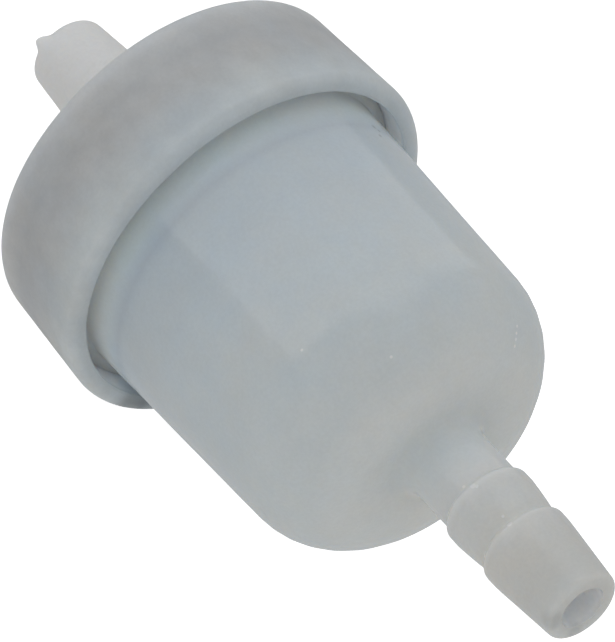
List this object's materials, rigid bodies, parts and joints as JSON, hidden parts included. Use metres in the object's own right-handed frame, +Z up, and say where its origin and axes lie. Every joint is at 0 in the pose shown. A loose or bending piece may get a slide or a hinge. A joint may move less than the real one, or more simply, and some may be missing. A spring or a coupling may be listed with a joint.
{
  "type": "fuel filter",
  "caption": "In-line fuel filter for a small engine: a milky cap and bowl with barbed hose spigots, welded round a woven screen element.",
  "frame": {"origin": "middle of the filter's length, on its axis", "axes": "+X along the axis, the way the fuel flows, from the inlet spigot to the outlet spigot; +Z up"},
  "size_m": [0.072, 0.035, 0.035],
  "materials": {
    "frosted_nylon": "frosted, milky and translucent",
    "milky_nylon": "smooth, milky and translucent, slightly bluish",
    "white_nylon": "satin, opaque white",
    "screen_cloth": "fine plain weave of nylon monofilament"
  },
  "bodies": {
    "root": {"inlet_cap": "frosted_nylon", "outlet_bowl": "milky_nylon", "element_collar": "white_nylon", "element_cage": "white_nylon", "screen_sleeve": "screen_cloth", "element_end_ring": "white_nylon", "end_screen": "screen_cloth"}
  },
  "joints": []
}
